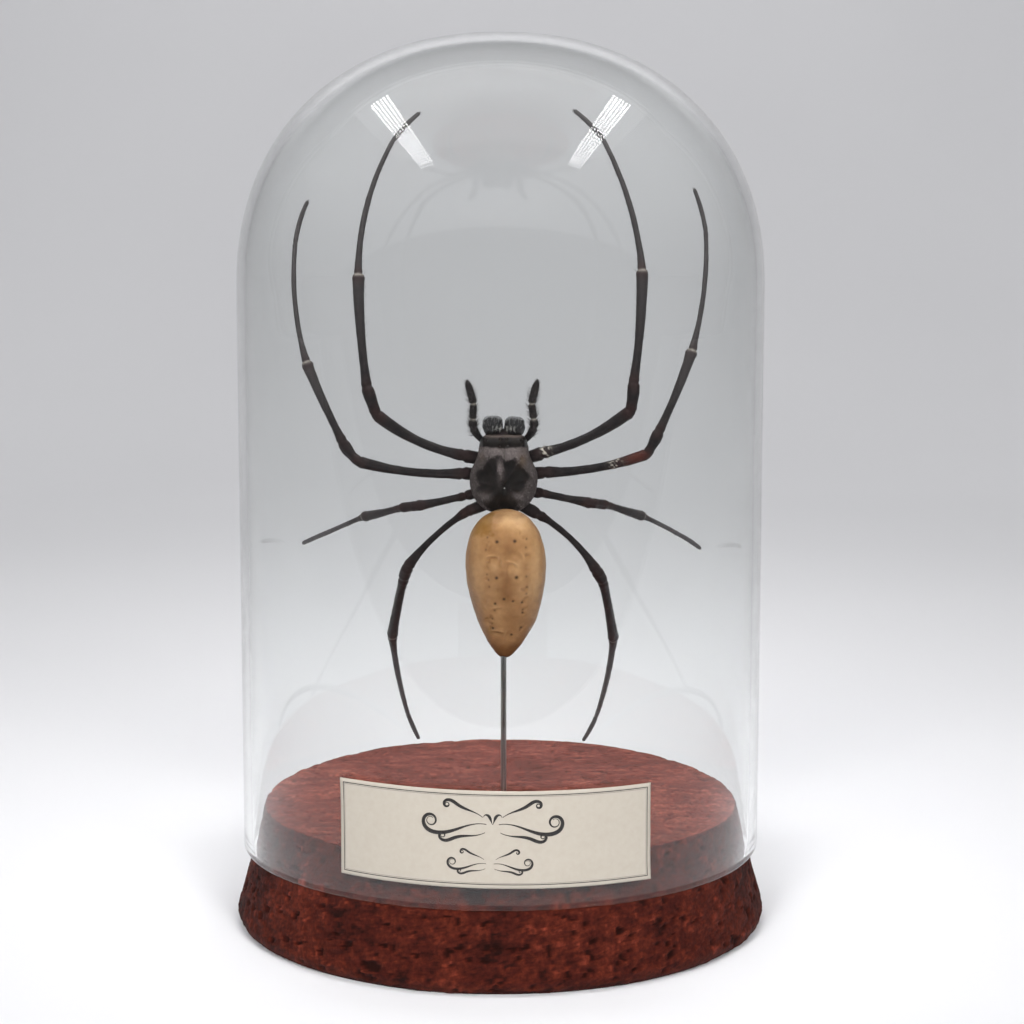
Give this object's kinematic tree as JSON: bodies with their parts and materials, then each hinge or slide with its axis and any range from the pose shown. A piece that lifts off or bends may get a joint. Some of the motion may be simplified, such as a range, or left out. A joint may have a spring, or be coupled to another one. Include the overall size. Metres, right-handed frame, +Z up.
{
  "type": "mounted golden silk orb weaver in a glass dome",
  "caption": "Large orb-weaving spider mounted head up on a thin rod over a round cork base, under a clear glass dome with a paper label.",
  "frame": {"origin": "middle of the cork base's underside", "axes": "+Z up along the dome's axis, -Y towards the viewer, who sees the label and the spider's back, +X to the viewer's right"},
  "size_m": [0.1028, 0.1028, 0.1696],
  "materials": {
    "cork": "red-stained pressed cork, dull, with dark pits",
    "glass": "clear blown glass",
    "rod": "bare drawn steel",
    "label_paper": "matt cream paper with a thin ruled border",
    "abdomen_skin": "dried tan skin with a waxy sheen and dark dots",
    "carapace_shell": "black shell under short grey down",
    "chelicera_shell": "black, hard and shiny",
    "limb_shell": "near-black shell with a soft sheen",
    "eye": "black glossy lens"
  },
  "bodies": {
    "root": {"abdomen": "abdomen_skin", "carapace": "carapace_shell", "chelicera_left": "chelicera_shell", "chelicera_right": "chelicera_shell", "cork_base": "cork", "endites": "limb_shell", "eye_front_lateral_left": "eye", "eye_front_lateral_right": "eye", "eye_front_median_left": "eye", "eye_front_median_right": "eye", "eye_rear_lateral_left": "eye", "eye_rear_lateral_right": "eye", "eye_rear_median_left": "eye", "eye_rear_median_right": "eye", "fang_left": "chelicera_shell", "fang_right": "chelicera_shell", "glass_dome": "glass", "label": "label_paper", "leg1_left_femur": "limb_shell", "leg1_left_foot": "limb_shell", "leg1_left_hip": "limb_shell", "leg1_left_tibia": "limb_shell", "leg1_right_femur": "limb_shell", "leg1_right_foot": "limb_shell", "leg1_right_hip": "limb_shell", "leg1_right_tibia": "limb_shell", "leg2_left_femur": "limb_shell", "leg2_left_foot": "limb_shell", "leg2_left_hip": "limb_shell", "leg2_left_tibia": "limb_shell", "leg2_right_femur": "limb_shell", "leg2_right_foot": "limb_shell", "leg2_right_hip": "limb_shell", "leg2_right_tibia": "limb_shell", "leg3_left_femur": "limb_shell", "leg3_left_foot": "limb_shell", "leg3_left_hip": "limb_shell", "leg3_left_tibia": "limb_shell", "leg3_right_femur": "limb_shell", "leg3_right_foot": "limb_shell", "leg3_right_hip": "limb_shell", "leg3_right_tibia": "limb_shell", "leg4_left_femur": "limb_shell", "leg4_left_foot": "limb_shell", "leg4_left_hip": "limb_shell", "leg4_left_tibia": "limb_shell", "leg4_right_femur": "limb_shell", "leg4_right_foot": "limb_shell", "leg4_right_hip": "limb_shell", "leg4_right_tibia": "limb_shell", "palp_left": "limb_shell", "palp_right": "limb_shell", "pedicel": "limb_shell", "spinnerets": "limb_shell", "steel_rod": "rod", "sternum": "limb_shell"}
  },
  "joints": []
}
